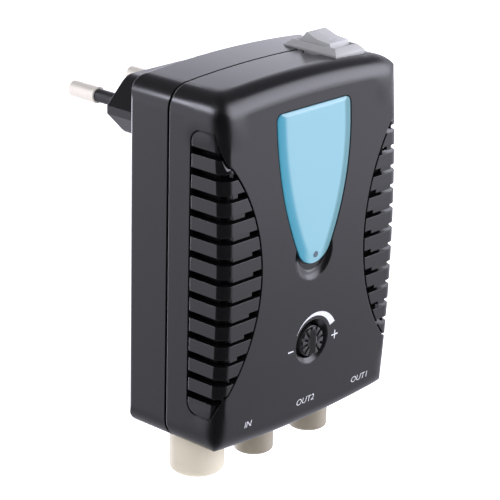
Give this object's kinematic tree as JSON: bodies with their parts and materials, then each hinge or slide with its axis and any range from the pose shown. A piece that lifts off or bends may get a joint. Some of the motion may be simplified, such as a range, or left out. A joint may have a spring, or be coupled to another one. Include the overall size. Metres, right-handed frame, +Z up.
{
  "type": "tv signal amplifier",
  "caption": "Plug-in mains case with a bowed front, louvred corners, pale window, gain knob and rocker switch, and coaxial connectors underneath, for amplifying an aerial signal.",
  "frame": {"origin": "midway between the two plug pins, on the end face of the plug boss", "axes": "+Y out of the back along the pins, towards the wall; +Z up; +X to the right seen from the front"},
  "size_m": [0.059, 0.0699, 0.0992],
  "materials": {
    "case": "fine-textured charcoal",
    "window": "glossy pale blue",
    "light": "dark tinted",
    "switch": "satin light grey",
    "sleeve": "black",
    "plating": "warm nickel plate",
    "pin": "bright nickel plate",
    "copper": "copper alloy",
    "insulator": "off-white",
    "board": "green lacquer",
    "component": "black moulding",
    "pot": "blue moulding",
    "core": "dark laminated steel",
    "winding": "varnished copper",
    "can": "blue film sleeve",
    "wire_brown": "brown insulation",
    "wire_blue": "blue insulation",
    "steel": "zinc plate"
  },
  "bodies": {
    "case": {"rear_housing": "case", "front_cover": "case", "front_lens": "window", "light_pipe": "light", "status_led": "insulator", "gain_pot": "pot", "switch_housing": "switch", "switch_middle_terminal": "copper", "switch_rear_terminal": "copper", "input_shell": "plating", "input_insulator": "insulator", "input_contact": "plating", "output_1_shell": "plating", "output_1_insulator": "insulator", "output_1_pin": "plating", "output_2_shell": "plating", "output_2_insulator": "insulator", "output_2_pin": "plating", "plug_pin_left": "pin", "plug_pin_right": "pin", "pin_sleeve_left": "sleeve", "pin_sleeve_right": "sleeve", "pin_clamp": "insulator", "circuit_board": "board", "shield_can": "steel", "shield_lid": "steel", "transformer_core": "core", "transformer_winding": "winding", "mains_capacitor": "can", "output_capacitor": "can", "rectifier_diodes": "component", "regulator": "component", "live_wire": "wire_brown", "neutral_wire": "wire_blue", "switch_wire": "wire_brown", "case_screws": "steel", "board_screws": "steel"},
    "gain_knob": {"gain_knob": "case"},
    "rocker": {"switch_rocker": "switch", "switch_plunger": "steel", "switch_spring": "steel", "switch_contact": "copper"}
  },
  "joints": [
    {"name": "gain_turn", "type": "hinge", "parent": "case", "child": "gain_knob", "pos_m": [0.0008, -0.0485, -0.0479], "axis": [0, 1, 0], "range_deg": [-135, 135]},
    {"name": "rocker_tip", "type": "hinge", "parent": "case", "child": "rocker", "pos_m": [0.0179, -0.036, 0.015], "axis": [-1, 0, 0], "range_deg": [0, 24]}
  ]
}
